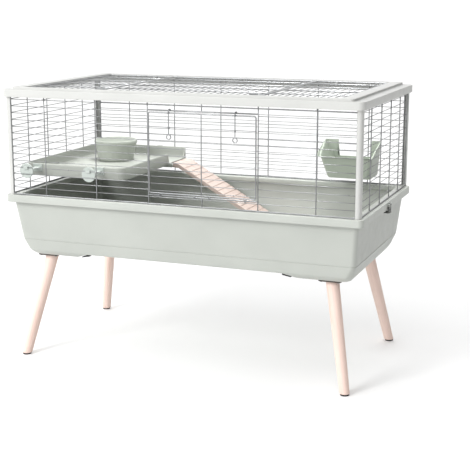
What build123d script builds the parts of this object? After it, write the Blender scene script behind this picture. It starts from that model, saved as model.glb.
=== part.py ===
from build123d import *
import os
from math import cos, radians, sin, tan

os.makedirs("parts", exist_ok=True)

# Rabbit hutch: plastic tub on four splayed wooden legs, with a wire cage above it.
# Millimetres, +Z up, origin on the floor at the centre of the footprint.
# X runs along the length, the side with the drop-down door faces -Y.

# ---- driving dimensions -------------------------------------------------------
# tub
TUB_X = 528.5             # half length of the tub below the rim
TUB_Y = 275.5             # half width of the tub below the rim
TUB_R = 13.0              # corner radius of the tub in plan
TUB_WALL = 3.0
TUB_TOP = 496.0
TUB_BOTTOM = 311.0
TUB_SECTIONS = (          # height, half length, half width, plan corner radius
    (358.5, 517.5, 252.5, 14.0),
    (326.0, 504.5, 246.0, 20.0),
    (TUB_BOTTOM, 495.5, 231.5, 26.0),
)
ARCH_HALF = 300.0         # half length of the raised middle of the floor
ARCH_SLOPE = 50.0
ARCH_RISE = 13.0
ARCH_SINK = 5.0           # how far the arch cut starts below the tub
CREASE_Z = (358.6, 361.2) # shallow groove round the walls, just above the bend
CREASE_X = 516.4
CREASE_Y = 251.6
CATCH_HALF = 18.0         # half width of the catch rib under each side clip
CATCH_OUT = 12.0
CATCH_Z = (472.0, 475.5)

# legs
LEG_TOP = (443.0, 194.5, 307.0)
LEG_FOOT = (505.0, 266.0, 0.0)
LEG_TOP_R = 19.0
LEG_FOOT_R = 14.5
LEG_SHIFT = -5.0          # the leg pattern sits this far from the middle along X
GLIDE_T = 4.0
PLATE = 66.0
PLATE_T = 4.0
STUD_R = 4.0
STUD_LENGTH = 46.0
SCREW_R = 2.0
SCREW_OFFSET = 25.0
SCREW_GRIP = 10.0
HOLE_PLAY = 0.05
PAD_X = (302.0, 328.0)    # small pads under the slopes of the raised middle
PAD_Y = (221.0, 231.0)
PAD_DROP = 7.0

# lower frame of the cage, an upside-down channel that sits over the tub's edge
RIM_X = 546.0
RIM_Y = 292.0
RIM_R = 16.0
RIM_T = 3.0
RIM_TOP = 500.0
RIM_LOW = 478.0
LEDGE_X = 512.0
LEDGE_Y = 258.0

# top frame
TOP_X = 544.5
TOP_Y = 296.0
TOP_R = 18.0
TOP_T = 3.5
FLANGE_LOW = 790.0
FLANGE_TOP = 812.0
RIDGE_X = 514.5           # outer face of the raised ridge
RIDGE_Y = 288.0
RIDGE_TOP = 819.0
INNER_X = 477.5           # inner face of the ridge, round the roof opening
INNER_Y = 274.5
SHELF_W = 12.0
SHELF_TOP = 809.0
SHELF_T = 3.0
SHELF_LOW = SHELF_TOP - SHELF_T

# corner posts
POST_X = 537.0
POST_Y = 285.0
POST_LEG = 15.5
POST_T = 3.0
POST_R = 10.0
POST_TOP = FLANGE_TOP - TOP_T

# wire panels
FRONT_Y = 280.0           # plane of the front and back panels
SIDE_X = 532.0            # plane of the side panels
FRONT_X = 522.0           # half length of the front and back panels
SIDE_Y = 269.0            # half length of a side panel
THICK_R = 1.6             # main wires
FRAME_R = 2.0             # edge wires
THIN_R = 1.0              # close-set wires
WELD = 0.3
PITCH = 20.0
PANEL_LOW = RIM_TOP + FRAME_R
PANEL_TOP = FLANGE_TOP - TOP_T - FRAME_R
ROWS = tuple(RIM_TOP + 22.0 + PITCH * i for i in range(14))
FRONT_POSTS = (-412.0, -247.0, -82.0, 82.0, 247.0, 412.0)
SIDE_POSTS = (-172.0, -57.0, 57.0, 172.0)
THIN_SETBACK = THICK_R + THIN_R - WELD

# drop-down front door
DOOR_LEFT = -77.0
DOOR_RIGHT = 242.0
DOOR_LOW = 535.0
DOOR_TOP = 762.0
DOOR_Y = FRONT_Y + 4.3    # plane of the door, just outside the panel
HINGE_Z = 528.0           # the panel wire that the door turns on
HEAD_Z = 768.0            # the panel wire over the doorway
LOOP_R = FRAME_R + 0.1
LOOP_OUT = 4.1
FRONT_LOOPS = (-45.0, 60.0, 105.0, 210.0)
LATCH_XS = {"left": -14.0, "right": 183.0}
LATCH_R = 1.5
LATCH_Y = DOOR_Y + 3.7
LATCH_Z = 702.0

# roof panel and roof door
ROOF_X = 470.0
ROOF_Y = 267.0
ROOF_Z = 815.0
ROOF_DOOR_GAP = 246.0     # half length of the roof opening
ROOF_DOOR_X = 240.0
ROOF_DOOR_Y = 260.0
ROOF_LOOPS = (-230.0, -10.0, 10.0, 230.0)
ROOF_LATCH_XS = {"left": -230.0, "right": 230.0}

# side clips
CLIP_HALF = 15.0
CLIP_PIN_Z = 491.0
CLIP_X = 550.0            # where the clip's pin lies
CLIP_LOW = 468.0
CLIP_NOSE_X = 534.0       # how far in the clip's hook reaches
CLIP_PIN_R = 1.6
CLIP_BARREL_R = 3.4

# hooks that hang a piece on a cage wire
HOOK_T = 2.0
HOOK_W = 14.0
HOOK_DROP = 6.0

# platform tray
TRAY = (-526.0, -195.0, -208.0, 270.0)    # left, right, front, back
TRAY_R = 26.0
TRAY_LOW = 547.0
TRAY_TOP = 585.0
TRAY_T = 3.0
TRAY_FLOOR = 551.0
GATE = (117.0, 233.0)     # stretch of the tray's right wall that the ramp meets
GATE_TOP = 554.0
ARM_XS = {"left": -481.0, "right": -275.0}
ARM_Z = 572.0
DISC_R = 22.0

# bowl
BOWL_AT = (-396.0, 142.0)
BOWL_R = 70.0
BOWL_BASE_R = 56.0
BOWL_TOP = 618.0
BOWL_T = 4.0

# ramp
RAMP_Y = (120.0, 230.0)
RAMP_PIN = (-188.0, 547.0)
RAMP_PIN_R = 2.0
RAMP_HEAD = (-165.0, 553.0)    # where the level end turns down
RAMP_ANGLE = 30.0
RAMP_T = 12.0
TUB_FLOOR = TUB_BOTTOM + ARCH_RISE + TUB_WALL
GROOVE_PITCH = 22.0

# hay rack
RACK_X = (277.0, 456.0)
RACK_FOOT_X = (312.0, 448.0)
RACK_BACK = 274.0
RACK_FRONT = 150.0
RACK_FOOT_FRONT = 168.0
RACK_LOW = 530.0
RACK_TOP = 636.0
RACK_LIP = 596.0
RACK_T = 3.0
RACK_GAP_X = (318.0, 424.0)    # open top of its back wall
RACK_GAP_LOW = 585.0
RACK_HOOKS = (304.0, 438.0)


def save(builder, name):
    builder.part.label = name
    export_step(builder.part, f"parts/{name}.step")


def outline(height, half_x, half_y, radius):
    """Rounded rectangle about the centre line at one height."""
    with BuildSketch(Plane.XY.offset(height)) as shape:
        RectangleRounded(2 * half_x, 2 * half_y, radius)
    return shape.sketch


def ring(z_low, z_top, outer, inner, mode=Mode.ADD):
    """Flat ring with rounded corners; outer and inner are half length, half width, radius."""
    with BuildSketch(Plane.XY.offset(z_low)) as shape:
        RectangleRounded(2 * outer[0], 2 * outer[1], outer[2])
        RectangleRounded(2 * inner[0], 2 * inner[1], inner[2], mode=Mode.SUBTRACT)
    extrude(shape.sketch, amount=z_top - z_low, mode=mode)


def outer_loop(builder, height, half_x, half_y):
    """Edges at one height that lie outside a rectangle about the centre."""
    found = []
    for edge in builder.edges().filter_by_position(Axis.Z, height - 0.1, height + 0.1):
        middle = edge.position_at(0.5)
        if abs(middle.X) > half_x or abs(middle.Y) > half_y:
            found.append(edge)
    return found


def rods_x(ends, y, z_list, radius):
    """Wires along X between two ends, one at each height."""
    length = ends[1] - ends[0]
    with Locations(*[((ends[0] + ends[1]) / 2, y, z) for z in z_list]):
        Cylinder(radius, length, rotation=(0, 90, 0))


def rods_y(x, ends, z_list, radius):
    """Wires along Y between two ends, one at each height."""
    length = ends[1] - ends[0]
    with Locations(*[(x, (ends[0] + ends[1]) / 2, z) for z in z_list]):
        Cylinder(radius, length, rotation=(90, 0, 0))


def rods_z(x_list, y, ends, radius):
    """Upright wires between two heights, one at each X."""
    length = ends[1] - ends[0]
    with Locations(*[(x, y, (ends[0] + ends[1]) / 2) for x in x_list]):
        Cylinder(radius, length)


def box(x, y, z, mode=Mode.ADD):
    """Block between two values on each axis."""
    with Locations(((x[0] + x[1]) / 2, (y[0] + y[1]) / 2, (z[0] + z[1]) / 2)):
        Box(x[1] - x[0], y[1] - y[0], z[1] - z[0], mode=mode)


def tub_shell(inset):
    """Tub outline drawn in by the wall thickness, from the floor to the open edge."""
    levels = [outline(RIM_LOW, TUB_X - inset, TUB_Y - inset, TUB_R - inset)]
    for height, half_x, half_y, radius in TUB_SECTIONS:
        floor = height + inset if height == TUB_BOTTOM else height
        levels.append(outline(floor, half_x - inset, half_y - inset, radius - inset))
    extrude(levels[0], amount=TUB_TOP - RIM_LOW)
    for upper, lower in zip(levels[:-1], levels[1:]):
        loft([lower, upper], ruled=True)


def arch(z_low, z_top, spread):
    """Tapered bar across the tub that raises the middle of its floor."""
    with BuildSketch(Plane.XZ) as shape:
        with BuildLine():
            Polyline(
                (-ARCH_HALF - ARCH_SLOPE - spread, z_low),
                (ARCH_HALF + ARCH_SLOPE + spread, z_low),
                (ARCH_HALF + spread, z_top),
                (-ARCH_HALF - spread, z_top),
                close=True,
            )
        make_face()
    extrude(shape.sketch, amount=TUB_Y + 10, both=True)


def leg_corners():
    """Name and side signs of each corner."""
    return (
        ("front_left", -1, -1),
        ("front_right", 1, -1),
        ("back_left", -1, 1),
        ("back_right", 1, 1),
    )


def leg_line(sx, sy):
    """Top, foot and unit direction of one leg."""
    top = Vector(sx * LEG_TOP[0] + LEG_SHIFT, sy * LEG_TOP[1], LEG_TOP[2])
    foot = Vector(sx * LEG_FOOT[0] + LEG_SHIFT, sy * LEG_FOOT[1], LEG_FOOT[2])
    return top, foot, (foot - top).normalized()


def screws_round(x, y):
    """Centres of the four screws round one leg top."""
    return [(x + dx * SCREW_OFFSET, y + dy * SCREW_OFFSET) for dx in (-1, 1) for dy in (-1, 1)]


def screw_points():
    """Centres of the bracket screws, four at each leg."""
    points = []
    for _, sx, sy in leg_corners():
        top, _, _ = leg_line(sx, sy)
        points += screws_round(top.X, top.Y)
    return points


# ---- tub ---------------------------------------------------------------------
with BuildPart() as tub_outer:
    tub_shell(0)

with BuildPart() as under_arch:
    arch(TUB_BOTTOM - ARCH_SINK, TUB_BOTTOM + ARCH_RISE, 0)

with BuildPart() as tub_inner:
    tub_shell(TUB_WALL)

with BuildPart() as floor_arch:
    arch(TUB_BOTTOM, TUB_FLOOR, TUB_WALL)

with BuildPart() as tub:
    add(tub_outer.part)
    add(under_arch.part, mode=Mode.SUBTRACT)
    ring(*CREASE_Z, (TUB_X, TUB_Y, TUB_R), (CREASE_X, CREASE_Y, TUB_R), mode=Mode.SUBTRACT)
    add(tub_inner.part - floor_arch.part, mode=Mode.SUBTRACT)
    with Locations(*[(x, y, TUB_BOTTOM + 6) for x, y in screw_points()]):
        Cylinder(5, 6)
    with Locations(*[(x, y, TUB_BOTTOM + 3) for x, y in screw_points()]):
        Cylinder(SCREW_R + HOLE_PLAY, 7, mode=Mode.SUBTRACT)
    for side in (-1, 1):
        box(sorted((side * (TUB_X - 2), side * (TUB_X + CATCH_OUT))), (-CATCH_HALF, CATCH_HALF), CATCH_Z)
save(tub, "tub")

# ---- legs, brackets, studs, screws and glides -----------------------------------
for corner, sx, sy in leg_corners():
    top, foot, axis = leg_line(sx, sy)
    taper = (LEG_TOP_R - LEG_FOOT_R) / (foot - top).length
    with BuildPart() as leg:
        with BuildSketch(Plane(origin=top - axis * 20, z_dir=axis)):
            Circle(LEG_TOP_R + 20 * taper)
        with BuildSketch(Plane(origin=foot + axis * 20, z_dir=axis)):
            Circle(LEG_FOOT_R - 20 * taper)
        loft()
        with BuildSketch(Plane(origin=top - axis * 10, z_dir=axis)):
            Circle(STUD_R + HOLE_PLAY)
        extrude(amount=STUD_LENGTH + 10, mode=Mode.SUBTRACT)
        box((-700, 700), (-400, 400), (LEG_TOP[2], 400), mode=Mode.SUBTRACT)
        box((-700, 700), (-400, 400), (-100, GLIDE_T), mode=Mode.SUBTRACT)
    save(leg, f"leg_{corner}")

    with BuildPart() as plate:
        with BuildSketch(Plane.XY.offset(LEG_TOP[2])):
            with Locations((top.X, top.Y)):
                RectangleRounded(PLATE, PLATE, 8)
        extrude(amount=PLATE_T)
        with BuildSketch(Plane(origin=top - axis * 20, z_dir=axis)):
            Circle(STUD_R + HOLE_PLAY)
        extrude(amount=40, mode=Mode.SUBTRACT)
        with Locations(*[(x, y, top.Z) for x, y in screws_round(top.X, top.Y)]):
            Cylinder(SCREW_R + HOLE_PLAY, 20, mode=Mode.SUBTRACT)
    save(plate, f"bracket_{corner}")

with BuildPart() as studs:
    for _, sx, sy in leg_corners():
        top, _, axis = leg_line(sx, sy)
        with BuildSketch(Plane(origin=top - axis * 20, z_dir=axis)):
            Circle(STUD_R)
        extrude(amount=STUD_LENGTH + 18)
    box((-700, 700), (-400, 400), (TUB_BOTTOM, 400), mode=Mode.SUBTRACT)
save(studs, "leg_studs")

with BuildPart() as screws:
    for x, y in screw_points():
        with Locations((x, y, LEG_TOP[2] + SCREW_GRIP / 2)):
            Cylinder(SCREW_R, SCREW_GRIP)
        with Locations((x, y, LEG_TOP[2] - 1.2)):
            Cylinder(3.8, 2.4)
save(screws, "bracket_screws")

with BuildPart() as glides:
    for _, sx, sy in leg_corners():
        _, foot, _ = leg_line(sx, sy)
        with Locations((foot.X, foot.Y, GLIDE_T / 2)):
            Cylinder(LEG_FOOT_R - 2, GLIDE_T)
save(glides, "foot_glides")

with BuildPart() as edge_pads:
    arch_fall = (ARCH_RISE + ARCH_SINK) / ARCH_SLOPE
    tops = [TUB_BOTTOM + ARCH_RISE - arch_fall * (x - ARCH_HALF) for x in PAD_X]
    for side in (-1, 1):
        for y_start in (-PAD_Y[1], PAD_Y[0]):
            with BuildSketch(Plane.XZ.offset(-y_start)) as wedge:
                with BuildLine():
                    Polyline(
                        (side * PAD_X[0], tops[0]),
                        (side * PAD_X[1], tops[1]),
                        (side * PAD_X[1], TUB_BOTTOM + 0.5),
                        (side * PAD_X[0], tops[0] - PAD_DROP),
                        close=True,
                    )
                make_face()
            extrude(wedge.sketch, amount=PAD_Y[0] - PAD_Y[1])
save(edge_pads, "edge_pads")

# ---- lower frame ------------------------------------------------------------------
with BuildPart() as lower_frame:
    ring(RIM_TOP - 4, RIM_TOP, (RIM_X, RIM_Y, RIM_R), (LEDGE_X, LEDGE_Y, 12))
    ring(RIM_LOW, RIM_TOP - 4, (RIM_X, RIM_Y, RIM_R), (RIM_X - RIM_T, RIM_Y - RIM_T, RIM_R - RIM_T))
    ring(RIM_TOP - 14, RIM_TOP - 4, (LEDGE_X + RIM_T, LEDGE_Y + RIM_T, 15), (LEDGE_X, LEDGE_Y, 12))
    fillet(outer_loop(lower_frame, RIM_TOP, LEDGE_X + 13, LEDGE_Y + 13), 1.6)
    for side in (-1, 1):
        for end in (-1, 1):
            middle = end * (CLIP_HALF - 4)
            box(
                sorted((side * (RIM_X - 0.5), side * (CLIP_X + 3))),
                (middle - 2, middle + 2),
                (CLIP_PIN_Z - 4, CLIP_PIN_Z + 4),
            )
            with Locations((side * CLIP_X, middle, CLIP_PIN_Z)):
                Cylinder(CLIP_PIN_R + HOLE_PLAY, 5, rotation=(90, 0, 0), mode=Mode.SUBTRACT)
save(lower_frame, "lower_frame")

with BuildPart() as clip_pins:
    for side in (-1, 1):
        with Locations((side * CLIP_X, 0, CLIP_PIN_Z)):
            Cylinder(CLIP_PIN_R, 2 * CLIP_HALF - 2, rotation=(90, 0, 0))
save(clip_pins, "clip_pins")

# ---- side clips ---------------------------------------------------------------------
for name, side in (("left", -1), ("right", 1)):
    inner = CLIP_X - 2.3
    barrel = CLIP_HALF - 6.5
    nose = sorted((side * CLIP_NOSE_X, side * (inner + 3)))
    with BuildPart() as clip:
        with Locations((side * CLIP_X, 0, CLIP_PIN_Z)):
            Cylinder(CLIP_BARREL_R, 2 * barrel, rotation=(90, 0, 0))
        box(sorted((side * inner, side * (inner + 3))), (-barrel, barrel), (480, CLIP_PIN_Z))
        box(sorted((side * inner, side * (inner + 3))), (-CLIP_HALF, CLIP_HALF), (CLIP_LOW, 485.5))
        box(nose, (2 - CLIP_HALF, CLIP_HALF - 2), (CLIP_LOW, CLIP_LOW + 3.3))
        box(sorted((side * inner, side * (inner + 5.5))), (-9, 9), (CLIP_LOW, CLIP_LOW + 2.5))
        box(sorted((side * (CLIP_X - 8), side * (CLIP_X + 8))), (-6, 6), (474, 480), mode=Mode.SUBTRACT)
        with Locations((side * CLIP_X, 0, CLIP_PIN_Z)):
            Cylinder(CLIP_PIN_R + HOLE_PLAY, 60, rotation=(90, 0, 0), mode=Mode.SUBTRACT)
    save(clip, f"side_clip_{name}")

# ---- corner posts --------------------------------------------------------------------
for corner, sx, sy in leg_corners():
    with BuildPart() as post:
        ring(RIM_TOP, POST_TOP, (POST_X, POST_Y, POST_R), (POST_X - POST_T, POST_Y - POST_T, POST_R - POST_T))
        box(
            sorted((sx * (POST_X - POST_LEG), sx * (POST_X + 1))),
            sorted((sy * (POST_Y - POST_LEG), sy * (POST_Y + 1))),
            (RIM_TOP, POST_TOP),
            mode=Mode.INTERSECT,
        )
    save(post, f"corner_post_{corner}")

# ---- top frame -----------------------------------------------------------------------
pad_z = (SHELF_TOP - 1, ROOF_Z - FRAME_R)
with BuildPart() as top_frame:
    ring(POST_TOP, FLANGE_TOP, (TOP_X, TOP_Y, TOP_R), (RIDGE_X - 3, RIDGE_Y - 3, 9))
    ring(FLANGE_LOW, POST_TOP, (TOP_X, TOP_Y, TOP_R), (TOP_X - 3, TOP_Y - 3, TOP_R - 3))
    ring(POST_TOP, RIDGE_TOP, (RIDGE_X, RIDGE_Y, 12), (RIDGE_X - 3, RIDGE_Y - 3, 9))
    ring(RIDGE_TOP - 3, RIDGE_TOP, (RIDGE_X, RIDGE_Y, 12), (INNER_X, INNER_Y, 6))
    ring(SHELF_LOW, RIDGE_TOP, (INNER_X + 3, INNER_Y + 3, 9), (INNER_X, INNER_Y, 6))
    ring(SHELF_LOW, SHELF_TOP, (INNER_X + 1, INNER_Y + 1, 7), (INNER_X - SHELF_W, INNER_Y - SHELF_W, 4))
    for side in (-1, 1):
        for x in (-450, -310, -110, 110, 310, 450):
            box((x - 4, x + 4), sorted((side * (ROOF_Y - 4), side * INNER_Y)), pad_z)
        for y in (-120, 0, 120):
            box(sorted((side * (ROOF_X - 4), side * INNER_X)), (y - 4, y + 4), pad_z)
    fillet(outer_loop(top_frame, FLANGE_TOP, RIDGE_X + 4, RIDGE_Y + 4), 2.4)
    fillet(outer_loop(top_frame, RIDGE_TOP, INNER_X + 10, INNER_Y + 10), 2.0)
save(top_frame, "top_frame")

# ---- wire panels ------------------------------------------------------------------------
with BuildPart() as front_panel:
    rods_x((-FRONT_X, FRONT_X), -FRONT_Y, (PANEL_LOW, PANEL_TOP), FRAME_R)
    rods_z((-FRONT_X, FRONT_X), -FRONT_Y, (PANEL_LOW, PANEL_TOP), FRAME_R)
    rods_x((FRONT_POSTS[2], FRONT_POSTS[4]), -FRONT_Y, (HINGE_Z, HEAD_Z), FRAME_R)
    rods_z([x for x in FRONT_POSTS if x != FRONT_POSTS[3]], -FRONT_Y, (PANEL_LOW, PANEL_TOP), THICK_R)
    rods_z((FRONT_POSTS[3],), -FRONT_Y, (PANEL_LOW, HINGE_Z), THICK_R)
    rods_z((FRONT_POSTS[3],), -FRONT_Y, (HEAD_Z, PANEL_TOP), THICK_R)
    beside = [z for z in ROWS if HINGE_Z < z < HEAD_Z]
    rods_x((-FRONT_X, FRONT_POSTS[2]), THIN_SETBACK - FRONT_Y, beside, THIN_R)
    rods_x((FRONT_POSTS[4], FRONT_X), THIN_SETBACK - FRONT_Y, beside, THIN_R)
    rods_x((-FRONT_X, FRONT_X), THIN_SETBACK - FRONT_Y, [z for z in ROWS if z not in beside], THIN_R)
save(front_panel, "front_panel")

with BuildPart() as back_panel:
    rods_x((-FRONT_X, FRONT_X), FRONT_Y, (PANEL_LOW, PANEL_TOP), FRAME_R)
    rods_z((-FRONT_X, FRONT_X), FRONT_Y, (PANEL_LOW, PANEL_TOP), FRAME_R)
    rods_z(FRONT_POSTS, FRONT_Y, (PANEL_LOW, PANEL_TOP), THICK_R)
    rods_x((-FRONT_X, FRONT_X), FRONT_Y - THIN_SETBACK, ROWS, THIN_R)
save(back_panel, "back_panel")

for name, side in (("left", -1), ("right", 1)):
    with BuildPart() as panel:
        rods_y(side * SIDE_X, (-SIDE_Y, SIDE_Y), (PANEL_LOW, PANEL_TOP), FRAME_R)
        for y in (-SIDE_Y, SIDE_Y):
            rods_z((side * SIDE_X,), y, (PANEL_LOW, PANEL_TOP), FRAME_R)
        for y in SIDE_POSTS:
            rods_z((side * SIDE_X,), y, (PANEL_LOW, PANEL_TOP), THICK_R)
        rods_y(side * (SIDE_X - THIN_SETBACK), (-SIDE_Y, SIDE_Y), ROWS, THIN_R)
    save(panel, f"{name}_panel")

with BuildPart() as roof_panel:
    thin = [PITCH * i for i in range(13, 24)]
    for side in (-1, 1):
        rods_x((-ROOF_X, ROOF_X), side * ROOF_Y, (ROOF_Z,), FRAME_R)
        rods_y(side * ROOF_X, (-ROOF_Y, ROOF_Y), (ROOF_Z,), FRAME_R)
        rods_y(side * ROOF_DOOR_GAP, (-ROOF_Y, ROOF_Y), (ROOF_Z,), THICK_R)
        for x in thin:
            rods_y(side * x, (-ROOF_Y, ROOF_Y), (ROOF_Z - THIN_SETBACK,), THIN_R)
        for y in SIDE_POSTS:
            rods_x(sorted((side * ROOF_DOOR_GAP, side * ROOF_X)), y, (ROOF_Z,), THICK_R)
save(roof_panel, "roof_panel")

# ---- front door and its latches --------------------------------------------------------------
with BuildPart() as front_door:
    rods_x((DOOR_LEFT, DOOR_RIGHT), -DOOR_Y, (DOOR_LOW, DOOR_TOP), FRAME_R)
    rods_z((DOOR_LEFT, DOOR_RIGHT), -DOOR_Y, (DOOR_LOW, DOOR_TOP), FRAME_R)
    rods_z((FRONT_POSTS[3],), -DOOR_Y, (DOOR_LOW, DOOR_TOP), THICK_R)
    rods_x((DOOR_LEFT, DOOR_RIGHT), 0.3 - DOOR_Y, [z for z in ROWS if DOOR_LOW < z < DOOR_TOP - 5], THIN_R)
    for x in FRONT_LOOPS:
        with Locations((x, -FRONT_Y, HINGE_Z)):
            Cylinder(LOOP_OUT, 8, rotation=(0, 90, 0))
        box((x - 3, x + 3), (-DOOR_Y - 0.7, -FRONT_Y - 2.6), (HINGE_Z + 0.6, DOOR_LOW - 0.5))
        with Locations((x, -FRONT_Y, HINGE_Z)):
            Cylinder(LOOP_R, 10, rotation=(0, 90, 0), mode=Mode.SUBTRACT)
    for x in LATCH_XS.values():
        box((x - 1.5, x + 1.5), (-LATCH_Y + 2.2, -DOOR_Y + 0.8), (718.5, 721.6))
        for z in (720, DOOR_TOP):
            with Locations((x, -LATCH_Y, z)):
                Cylinder(LATCH_R + 1.8, 6)
                Cylinder(LATCH_R + 0.08, 12, mode=Mode.SUBTRACT)
save(front_door, "front_door")

for name, x in LATCH_XS.items():
    arm_z = HEAD_Z + FRAME_R + LATCH_R + 0.2
    tip_y = -FRONT_Y + 5.0
    with BuildPart() as latch:
        rods_z((x,), -LATCH_Y, (LATCH_Z, arm_z), LATCH_R)
        rods_y(x, (-LATCH_Y, tip_y), (arm_z,), LATCH_R)
        rods_z((x,), tip_y, (arm_z - 5, arm_z), LATCH_R)
        with Locations((x, -LATCH_Y, arm_z), (x, tip_y, arm_z)):
            Sphere(LATCH_R)
        with Locations((x, -LATCH_Y, LATCH_Z - 6.5)):
            Torus(6.5, LATCH_R, rotation=(90, 0, 0))
    save(latch, f"front_latch_{name}")

# ---- roof door and its latches ----------------------------------------------------------------
with BuildPart() as roof_door:
    for side in (-1, 1):
        rods_x((-ROOF_DOOR_X, ROOF_DOOR_X), side * ROOF_DOOR_Y, (ROOF_Z,), FRAME_R)
        rods_y(side * ROOF_DOOR_X, (-ROOF_DOOR_Y, ROOF_DOOR_Y), (ROOF_Z,), FRAME_R)
    for y in SIDE_POSTS:
        rods_x((-ROOF_DOOR_X, ROOF_DOOR_X), y, (ROOF_Z,), THICK_R)
    for i in range(-11, 12):
        rods_y(PITCH * i, (-ROOF_DOOR_Y, ROOF_DOOR_Y), (ROOF_Z - THIN_SETBACK,), THIN_R)
    for x in ROOF_LOOPS:
        with Locations((x, ROOF_Y, ROOF_Z)):
            Cylinder(LOOP_OUT, 8, rotation=(0, 90, 0))
        box((x - 4, x + 4), (ROOF_DOOR_Y, ROOF_Y - 1), (ROOF_Z - 1, ROOF_Z + 1))
        with Locations((x, ROOF_Y, ROOF_Z)):
            Cylinder(LOOP_R, 10, rotation=(0, 90, 0), mode=Mode.SUBTRACT)
save(roof_door, "roof_door")

for name, x in ROOF_LATCH_XS.items():
    with BuildPart() as latch:
        with Locations((x, -ROOF_DOOR_Y, ROOF_Z)):
            Cylinder(3.8, 8, rotation=(0, 90, 0))
        box((x - 4, x + 4), (-ROOF_DOOR_Y - 3.6, -ROOF_DOOR_Y), (ROOF_Z + 2.2, ROOF_Z + 4))
        box((x - 13, x + 13), (-ROOF_Y - 3.8, -ROOF_DOOR_Y - 2.8), (ROOF_Z + 2.6, ROOF_Z + 4))
        box((x - 13, x + 13), (-ROOF_Y - 3.8, -ROOF_Y - 2.4), (ROOF_Z - 1.5, ROOF_Z + 8))
        with Locations((x, -ROOF_DOOR_Y, ROOF_Z)):
            Cylinder(LOOP_R, 40, rotation=(0, 90, 0), mode=Mode.SUBTRACT)
    save(latch, f"roof_latch_{name}")


def wire_hook(x, wall_y, wire_y, wire_z):
    """Strap that leaves a wall, passes over a cage wire and drops behind it."""
    side = 1 if wire_y > 0 else -1
    over = wire_z + THIN_R + 0.2
    lip = wire_y + side * (THIN_R + 0.4)
    box((x - HOOK_W / 2, x + HOOK_W / 2), sorted((wall_y, lip + side * HOOK_T)), (over, over + HOOK_T))
    box((x - HOOK_W / 2, x + HOOK_W / 2), sorted((lip, lip + side * HOOK_T)), (over - HOOK_DROP, over))


# ---- platform ----------------------------------------------------------------------------------
tray_middle = ((TRAY[0] + TRAY[1]) / 2, (TRAY[2] + TRAY[3]) / 2)
tray_size = (TRAY[1] - TRAY[0], TRAY[3] - TRAY[2])
thin_back = FRONT_Y - THIN_SETBACK
with BuildPart() as platform:
    with BuildSketch(Plane.XY.offset(TRAY_LOW)):
        with Locations(tray_middle):
            RectangleRounded(*tray_size, TRAY_R)
    extrude(amount=TRAY_TOP - TRAY_LOW)
    with BuildSketch(Plane.XY.offset(TRAY_FLOOR)):
        with Locations(tray_middle):
            RectangleRounded(tray_size[0] - 2 * TRAY_T, tray_size[1] - 2 * TRAY_T, TRAY_R - TRAY_T)
    extrude(amount=TRAY_TOP - TRAY_FLOOR, mode=Mode.SUBTRACT)
    box((TRAY[1] - 10, TRAY[1] + 5), GATE, (GATE_TOP, TRAY_TOP + 1), mode=Mode.SUBTRACT)
    fillet(platform.edges().filter_by_position(Axis.Z, TRAY_LOW - 0.1, TRAY_LOW + 0.1), 2.5)
    for y in (RAMP_Y[0] - 4.5, RAMP_Y[1] + 4.5):
        box((TRAY[1] - 20, RAMP_PIN[0] + 6), (y - 3, y + 3), (RAMP_PIN[1] - 6, RAMP_PIN[1] + 0.5))
        box((TRAY[1] - 2.5, RAMP_PIN[0] + 6), (y - 3, y + 3), (RAMP_PIN[1], RAMP_PIN[1] + 6))
    with Locations((RAMP_PIN[0], (RAMP_Y[0] + RAMP_Y[1]) / 2, RAMP_PIN[1])):
        Cylinder(RAMP_PIN_R + HOLE_PLAY, 140, rotation=(90, 0, 0), mode=Mode.SUBTRACT)
    for x in (-460, -300):
        wire_hook(x, TRAY[3] - 1, thin_back, ROWS[3])
save(platform, "platform")

for name, x in ARM_XS.items():
    with BuildPart() as arm:
        box((x - 9, x + 9), (-thin_back + 3.5, TRAY[2]), (ARM_Z - 3, ARM_Z + 3))
        box((x - 16, x + 16), (TRAY[2] - 3, TRAY[2]), (ARM_Z - 12, ARM_Z + 12))
        with Locations((x, -thin_back + 4.5, ARM_Z)):
            Cylinder(DISC_R, 5, rotation=(90, 0, 0))
        box((x - 4, x + 4), (-thin_back, -thin_back + 9), (ARM_Z - 18, ARM_Z - 6), mode=Mode.SUBTRACT)
        box((x - 4, x + 4), (-thin_back, -thin_back + 9), (ARM_Z + 6, ARM_Z + 14), mode=Mode.SUBTRACT)
        wire_hook(x, -thin_back + 4, -thin_back, ROWS[3])
    save(arm, f"platform_arm_{name}")

with BuildPart() as ramp_pin:
    with Locations((RAMP_PIN[0], (RAMP_Y[0] + RAMP_Y[1]) / 2, RAMP_PIN[1])):
        Cylinder(RAMP_PIN_R, RAMP_Y[1] - RAMP_Y[0] + 14, rotation=(90, 0, 0))
save(ramp_pin, "ramp_pin")

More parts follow.
